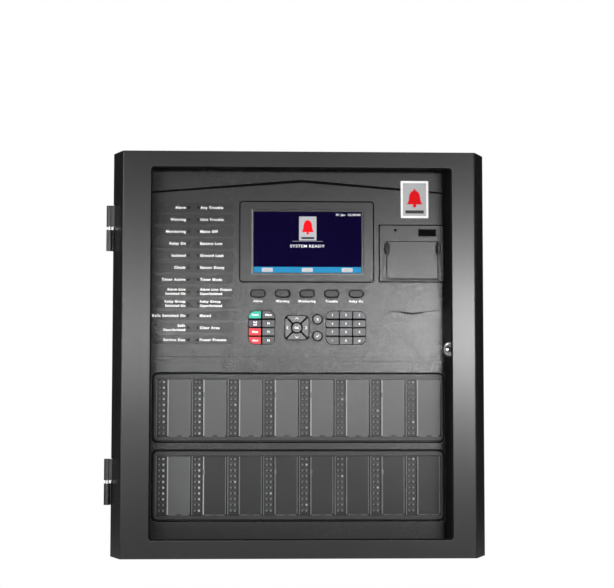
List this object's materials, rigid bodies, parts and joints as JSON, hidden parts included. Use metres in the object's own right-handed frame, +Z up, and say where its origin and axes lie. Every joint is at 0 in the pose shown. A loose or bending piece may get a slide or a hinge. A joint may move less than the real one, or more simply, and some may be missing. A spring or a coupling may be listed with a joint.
{
  "type": "fire alarm control panel",
  "caption": "Wall-mounted fire alarm control panel: hinged door with a clear window, and a swing-out inner panel with a display, keys, a strip printer, a lock and indicator strips.",
  "frame": {"origin": "centre of the flat back face that stands against the wall", "axes": "+X to the viewer's right, +Y from the front towards the wall, +Z up"},
  "size_m": [0.543, 0.165, 0.5739],
  "materials": {
    "powder_coat": "satin black powder coat with a fine orange-peel grain",
    "fascia_plastic": "black moulded plastic with a fine spark-eroded grain",
    "bezel_plastic": "black moulded plastic",
    "hinge_black": "black painted steel",
    "steel": "bright drawn steel",
    "chrome": "polished chrome plate",
    "rubber": "matt black rubber",
    "clear_pane": "clear polished sheet",
    "smoke_cover": "clear smoky moulded plastic",
    "screen_glass": "dark blue lit display under glass",
    "circuit_board": "green solder mask",
    "battery_case": "dark grey battery case",
    "aluminium": "plain folded aluminium",
    "paper": "white thermal paper, matt",
    "key_grey": "dark grey keys",
    "key_green": "teal green key",
    "key_red": "red keys",
    "key_mauve": "dark mauve key"
  },
  "bodies": {
    "cabinet": {"back_box": "powder_coat", "hinge_leaf_box_upper": "hinge_black", "hinge_leaf_box_lower": "hinge_black", "hinge_pin_upper": "steel", "hinge_pin_lower": "steel", "door_magnet_catch": "hinge_black", "battery_left": "battery_case", "battery_right": "battery_case", "power_supply": "aluminium", "terminal_board": "circuit_board"},
    "door": {"outer_door": "powder_coat", "window_pane": "clear_pane", "window_gasket": "rubber", "hinge_leaf_door_upper": "hinge_black", "hinge_leaf_door_lower": "hinge_black"},
    "panel": {"inner_panel": "powder_coat", "fascia": "fascia_plastic", "display_bezel": "bezel_plastic", "display_screen": "screen_glass", "printer_body": "bezel_plastic", "paper_roll": "paper", "zone_cover_upper": "smoke_cover", "zone_cover_lower": "smoke_cover", "main_board": "circuit_board", "lock_body": "chrome", "buzzer": "hinge_black"},
    "lock": {"lock_plug": "chrome"},
    "flap": {"printer_flap": "bezel_plastic"},
    "key_alarm": {"key_alarm": "key_grey"},
    "key_prealarm": {"key_prealarm": "key_grey"},
    "key_supervisory": {"key_supervisory": "key_grey"},
    "key_fault": {"key_fault": "key_grey"},
    "key_activation": {"key_activation": "key_grey"},
    "key_reset": {"key_reset": "key_green"},
    "key_menu_mute": {"key_menu_mute": "key_grey"},
    "key_self_mute": {"key_self_mute": "key_mauve"},
    "key_f1": {"key_f1": "key_grey"},
    "key_silence": {"key_silence": "key_red"},
    "key_f2": {"key_f2": "key_grey"},
    "key_evacuate": {"key_evacuate": "key_red"},
    "key_f3": {"key_f3": "key_grey"},
    "key_arrow_up": {"key_arrow_up": "key_grey"},
    "key_arrow_right": {"key_arrow_right": "key_grey"},
    "key_arrow_down": {"key_arrow_down": "key_grey"},
    "key_arrow_left": {"key_arrow_left": "key_grey"},
    "key_ok": {"key_ok": "key_grey"},
    "key_round_upper": {"key_round_upper": "key_grey"},
    "key_round_lower": {"key_round_lower": "key_grey"},
    "key_num_1": {"key_num_1": "key_grey"},
    "key_num_2": {"key_num_2": "key_grey"},
    "key_num_3": {"key_num_3": "key_grey"},
    "key_num_4": {"key_num_4": "key_grey"},
    "key_num_5": {"key_num_5": "key_grey"},
    "key_num_6": {"key_num_6": "key_grey"},
    "key_num_7": {"key_num_7": "key_grey"},
    "key_num_8": {"key_num_8": "key_grey"},
    "key_num_9": {"key_num_9": "key_grey"},
    "key_num_star": {"key_num_star": "key_grey"},
    "key_num_0": {"key_num_0": "key_grey"},
    "key_num_enter": {"key_num_enter": "key_grey"}
  },
  "joints": [
    {"name": "outer_door_swing", "type": "hinge", "parent": "cabinet", "child": "door", "pos_m": [-0.272, -0.1295, 0], "axis": [0, 0, -1], "range_deg": [0, 120]},
    {"name": "inner_panel_swing", "type": "hinge", "parent": "cabinet", "child": "panel", "pos_m": [-0.24, -0.082, 0], "axis": [0, 0, -1], "range_deg": [0, 75]},
    {"name": "inner_lock_turn", "type": "hinge", "parent": "panel", "child": "lock", "pos_m": [0.2221, -0.085, 0.0068], "axis": [0, -1, 0], "range_deg": [0, 90]},
    {"name": "printer_flap_open", "type": "hinge", "parent": "panel", "child": "flap", "pos_m": [0.1669, -0.103, 0.1124], "axis": [1, 0, 0], "range_deg": [0, 90]},
    {"name": "key_alarm_press", "type": "slide", "parent": "panel", "child": "key_alarm", "axis": [0, 1, 0], "range_m": [0, 0.0012], "stiffness_N_per_m": 200, "springref_m": -0.0005},
    {"name": "key_prealarm_press", "type": "slide", "parent": "panel", "child": "key_prealarm", "axis": [0, 1, 0], "range_m": [0, 0.0012], "stiffness_N_per_m": 200, "springref_m": -0.0005},
    {"name": "key_supervisory_press", "type": "slide", "parent": "panel", "child": "key_supervisory", "axis": [0, 1, 0], "range_m": [0, 0.0012], "stiffness_N_per_m": 200, "springref_m": -0.0005},
    {"name": "key_fault_press", "type": "slide", "parent": "panel", "child": "key_fault", "axis": [0, 1, 0], "range_m": [0, 0.0012], "stiffness_N_per_m": 200, "springref_m": -0.0005},
    {"name": "key_activation_press", "type": "slide", "parent": "panel", "child": "key_activation", "axis": [0, 1, 0], "range_m": [0, 0.0012], "stiffness_N_per_m": 200, "springref_m": -0.0005},
    {"name": "key_reset_press", "type": "slide", "parent": "panel", "child": "key_reset", "axis": [0, 1, 0], "range_m": [0, 0.0012], "stiffness_N_per_m": 200, "springref_m": -0.0005},
    {"name": "key_menu_mute_press", "type": "slide", "parent": "panel", "child": "key_menu_mute", "axis": [0, 1, 0], "range_m": [0, 0.0012], "stiffness_N_per_m": 200, "springref_m": -0.0005},
    {"name": "key_self_mute_press", "type": "slide", "parent": "panel", "child": "key_self_mute", "axis": [0, 1, 0], "range_m": [0, 0.0012], "stiffness_N_per_m": 200, "springref_m": -0.0005},
    {"name": "key_f1_press", "type": "slide", "parent": "panel", "child": "key_f1", "axis": [0, 1, 0], "range_m": [0, 0.0012], "stiffness_N_per_m": 200, "springref_m": -0.0005},
    {"name": "key_silence_press", "type": "slide", "parent": "panel", "child": "key_silence", "axis": [0, 1, 0], "range_m": [0, 0.0012], "stiffness_N_per_m": 200, "springref_m": -0.0005},
    {"name": "key_f2_press", "type": "slide", "parent": "panel", "child": "key_f2", "axis": [0, 1, 0], "range_m": [0, 0.0012], "stiffness_N_per_m": 200, "springref_m": -0.0005},
    {"name": "key_evacuate_press", "type": "slide", "parent": "panel", "child": "key_evacuate", "axis": [0, 1, 0], "range_m": [0, 0.0012], "stiffness_N_per_m": 200, "springref_m": -0.0005},
    {"name": "key_f3_press", "type": "slide", "parent": "panel", "child": "key_f3", "axis": [0, 1, 0], "range_m": [0, 0.0012], "stiffness_N_per_m": 200, "springref_m": -0.0005},
    {"name": "key_arrow_up_press", "type": "slide", "parent": "panel", "child": "key_arrow_up", "axis": [0, 1, 0], "range_m": [0, 0.0012], "stiffness_N_per_m": 200, "springref_m": -0.0005},
    {"name": "key_arrow_right_press", "type": "slide", "parent": "panel", "child": "key_arrow_right", "axis": [0, 1, 0], "range_m": [0, 0.0012], "stiffness_N_per_m": 200, "springref_m": -0.0005},
    {"name": "key_arrow_down_press", "type": "slide", "parent": "panel", "child": "key_arrow_down", "axis": [0, 1, 0], "range_m": [0, 0.0012], "stiffness_N_per_m": 200, "springref_m": -0.0005},
    {"name": "key_arrow_left_press", "type": "slide", "parent": "panel", "child": "key_arrow_left", "axis": [0, 1, 0], "range_m": [0, 0.0012], "stiffness_N_per_m": 200, "springref_m": -0.0005},
    {"name": "key_ok_press", "type": "slide", "parent": "panel", "child": "key_ok", "axis": [0, 1, 0], "range_m": [0, 0.0012], "stiffness_N_per_m": 200, "springref_m": -0.0005},
    {"name": "key_round_upper_press", "type": "slide", "parent": "panel", "child": "key_round_upper", "axis": [0, 1, 0], "range_m": [0, 0.0012], "stiffness_N_per_m": 200, "springref_m": -0.0005},
    {"name": "key_round_lower_press", "type": "slide", "parent": "panel", "child": "key_round_lower", "axis": [0, 1, 0], "range_m": [0, 0.0012], "stiffness_N_per_m": 200, "springref_m": -0.0005},
    {"name": "key_num_1_press", "type": "slide", "parent": "panel", "child": "key_num_1", "axis": [0, 1, 0], "range_m": [0, 0.0012], "stiffness_N_per_m": 200, "springref_m": -0.0005},
    {"name": "key_num_2_press", "type": "slide", "parent": "panel", "child": "key_num_2", "axis": [0, 1, 0], "range_m": [0, 0.0012], "stiffness_N_per_m": 200, "springref_m": -0.0005},
    {"name": "key_num_3_press", "type": "slide", "parent": "panel", "child": "key_num_3", "axis": [0, 1, 0], "range_m": [0, 0.0012], "stiffness_N_per_m": 200, "springref_m": -0.0005},
    {"name": "key_num_4_press", "type": "slide", "parent": "panel", "child": "key_num_4", "axis": [0, 1, 0], "range_m": [0, 0.0012], "stiffness_N_per_m": 200, "springref_m": -0.0005},
    {"name": "key_num_5_press", "type": "slide", "parent": "panel", "child": "key_num_5", "axis": [0, 1, 0], "range_m": [0, 0.0012], "stiffness_N_per_m": 200, "springref_m": -0.0005},
    {"name": "key_num_6_press", "type": "slide", "parent": "panel", "child": "key_num_6", "axis": [0, 1, 0], "range_m": [0, 0.0012], "stiffness_N_per_m": 200, "springref_m": -0.0005},
    {"name": "key_num_7_press", "type": "slide", "parent": "panel", "child": "key_num_7", "axis": [0, 1, 0], "range_m": [0, 0.0012], "stiffness_N_per_m": 200, "springref_m": -0.0005},
    {"name": "key_num_8_press", "type": "slide", "parent": "panel", "child": "key_num_8", "axis": [0, 1, 0], "range_m": [0, 0.0012], "stiffness_N_per_m": 200, "springref_m": -0.0005},
    {"name": "key_num_9_press", "type": "slide", "parent": "panel", "child": "key_num_9", "axis": [0, 1, 0], "range_m": [0, 0.0012], "stiffness_N_per_m": 200, "springref_m": -0.0005},
    {"name": "key_num_star_press", "type": "slide", "parent": "panel", "child": "key_num_star", "axis": [0, 1, 0], "range_m": [0, 0.0012], "stiffness_N_per_m": 200, "springref_m": -0.0005},
    {"name": "key_num_0_press", "type": "slide", "parent": "panel", "child": "key_num_0", "axis": [0, 1, 0], "range_m": [0, 0.0012], "stiffness_N_per_m": 200, "springref_m": -0.0005},
    {"name": "key_num_enter_press", "type": "slide", "parent": "panel", "child": "key_num_enter", "axis": [0, 1, 0], "range_m": [0, 0.0012], "stiffness_N_per_m": 200, "springref_m": -0.0005}
  ],
  "couplings": [
    {"joint": "inner_panel_swing", "follows": "outer_door_swing", "ratio": 0.625}
  ]
}
